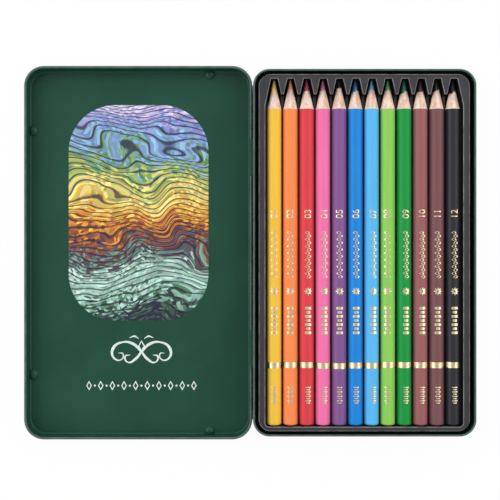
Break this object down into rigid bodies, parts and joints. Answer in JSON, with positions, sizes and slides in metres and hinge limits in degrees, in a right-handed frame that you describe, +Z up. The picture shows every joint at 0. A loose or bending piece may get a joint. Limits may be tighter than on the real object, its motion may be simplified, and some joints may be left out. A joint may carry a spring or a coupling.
{
  "type": "coloured pencil tin",
  "caption": "Flat hinged tinplate tin, open, with a formed tray that holds a row of round coloured pencils.",
  "frame": {"origin": "on the table, under the middle of the open tin's bounding box", "axes": "+X from the lid to the base, +Y towards the pencil tips, +Z up"},
  "size_m": [0.2286, 0.1896, 0.0118],
  "materials": {
    "tin_paint": "semi-gloss dark green enamel on tinplate",
    "tray_plastic": "satin charcoal vacuum-formed polystyrene",
    "wire_steel": "drawn steel wire",
    "casing_wood": "pale sharpened softwood",
    "gold_foil": "hot-stamped gold foil",
    "lid_print": "printed colours under semi-gloss varnish",
    "lid_white_print": "white print under semi-gloss varnish",
    "yellow_lacquer": "gloss lacquer",
    "orange_lacquer": "gloss lacquer",
    "red_lacquer": "gloss lacquer",
    "pink_lacquer": "gloss lacquer",
    "purple_lacquer": "gloss lacquer",
    "blue_lacquer": "gloss lacquer",
    "sky_blue_lacquer": "gloss lacquer",
    "light_green_lacquer": "gloss lacquer",
    "green_lacquer": "gloss lacquer",
    "brown_lacquer": "gloss lacquer",
    "dark_brown_lacquer": "gloss lacquer",
    "black_lacquer": "gloss lacquer",
    "yellow_pigment": "waxy pigment core",
    "orange_pigment": "waxy pigment core",
    "red_pigment": "waxy pigment core",
    "pink_pigment": "waxy pigment core",
    "purple_pigment": "waxy pigment core",
    "blue_pigment": "waxy pigment core",
    "sky_blue_pigment": "waxy pigment core",
    "light_green_pigment": "waxy pigment core",
    "green_pigment": "waxy pigment core",
    "brown_pigment": "waxy pigment core",
    "dark_brown_pigment": "waxy pigment core",
    "black_pigment": "waxy pigment core"
  },
  "bodies": {
    "base": {"base_shell": "tin_paint"},
    "lid": {"lid_shell": "tin_paint", "hinge_wire_lower": "wire_steel", "hinge_wire_upper": "wire_steel"},
    "tray": {"pencil_tray": "tray_plastic"},
    "pencil_yellow": {"yellow_core": "yellow_pigment", "yellow_casing": "casing_wood", "yellow_lacquer": "yellow_lacquer"},
    "pencil_orange": {"orange_core": "orange_pigment", "orange_casing": "casing_wood", "orange_lacquer": "orange_lacquer"},
    "pencil_red": {"red_core": "red_pigment", "red_casing": "casing_wood", "red_lacquer": "red_lacquer"},
    "pencil_pink": {"pink_core": "pink_pigment", "pink_casing": "casing_wood", "pink_lacquer": "pink_lacquer"},
    "pencil_purple": {"purple_core": "purple_pigment", "purple_casing": "casing_wood", "purple_lacquer": "purple_lacquer"},
    "pencil_blue": {"blue_core": "blue_pigment", "blue_casing": "casing_wood", "blue_lacquer": "blue_lacquer"},
    "pencil_sky_blue": {"sky_blue_core": "sky_blue_pigment", "sky_blue_casing": "casing_wood", "sky_blue_lacquer": "sky_blue_lacquer"},
    "pencil_light_green": {"light_green_core": "light_green_pigment", "light_green_casing": "casing_wood", "light_green_lacquer": "light_green_lacquer"},
    "pencil_green": {"green_core": "green_pigment", "green_casing": "casing_wood", "green_lacquer": "green_lacquer"},
    "pencil_brown": {"brown_core": "brown_pigment", "brown_casing": "casing_wood", "brown_lacquer": "brown_lacquer"},
    "pencil_dark_brown": {"dark_brown_core": "dark_brown_pigment", "dark_brown_casing": "casing_wood", "dark_brown_lacquer": "dark_brown_lacquer"},
    "pencil_black": {"black_core": "black_pigment", "black_casing": "casing_wood", "black_lacquer": "black_lacquer"}
  },
  "joints": [
    {"name": "lid_hinge", "type": "hinge", "parent": "base", "child": "lid", "pos_m": [0.00086, 0, 0.00707], "axis": [0, 1, 0], "range_deg": [0, 180]},
    {"name": "tray_lift", "type": "slide", "parent": "base", "child": "tray", "axis": [0, 0, 1], "range_m": [0, 0.03]},
    {"name": "yellow_lift", "type": "slide", "parent": "tray", "child": "pencil_yellow", "axis": [0, 0, 1], "range_m": [0, 0.03]},
    {"name": "orange_lift", "type": "slide", "parent": "tray", "child": "pencil_orange", "axis": [0, 0, 1], "range_m": [0, 0.03]},
    {"name": "red_lift", "type": "slide", "parent": "tray", "child": "pencil_red", "axis": [0, 0, 1], "range_m": [0, 0.03]},
    {"name": "pink_lift", "type": "slide", "parent": "tray", "child": "pencil_pink", "axis": [0, 0, 1], "range_m": [0, 0.03]},
    {"name": "purple_lift", "type": "slide", "parent": "tray", "child": "pencil_purple", "axis": [0, 0, 1], "range_m": [0, 0.03]},
    {"name": "blue_lift", "type": "slide", "parent": "tray", "child": "pencil_blue", "axis": [0, 0, 1], "range_m": [0, 0.03]},
    {"name": "sky_blue_lift", "type": "slide", "parent": "tray", "child": "pencil_sky_blue", "axis": [0, 0, 1], "range_m": [0, 0.03]},
    {"name": "light_green_lift", "type": "slide", "parent": "tray", "child": "pencil_light_green", "axis": [0, 0, 1], "range_m": [0, 0.03]},
    {"name": "green_lift", "type": "slide", "parent": "tray", "child": "pencil_green", "axis": [0, 0, 1], "range_m": [0, 0.03]},
    {"name": "brown_lift", "type": "slide", "parent": "tray", "child": "pencil_brown", "axis": [0, 0, 1], "range_m": [0, 0.03]},
    {"name": "dark_brown_lift", "type": "slide", "parent": "tray", "child": "pencil_dark_brown", "axis": [0, 0, 1], "range_m": [0, 0.03]},
    {"name": "black_lift", "type": "slide", "parent": "tray", "child": "pencil_black", "axis": [0, 0, 1], "range_m": [0, 0.03]}
  ]
}
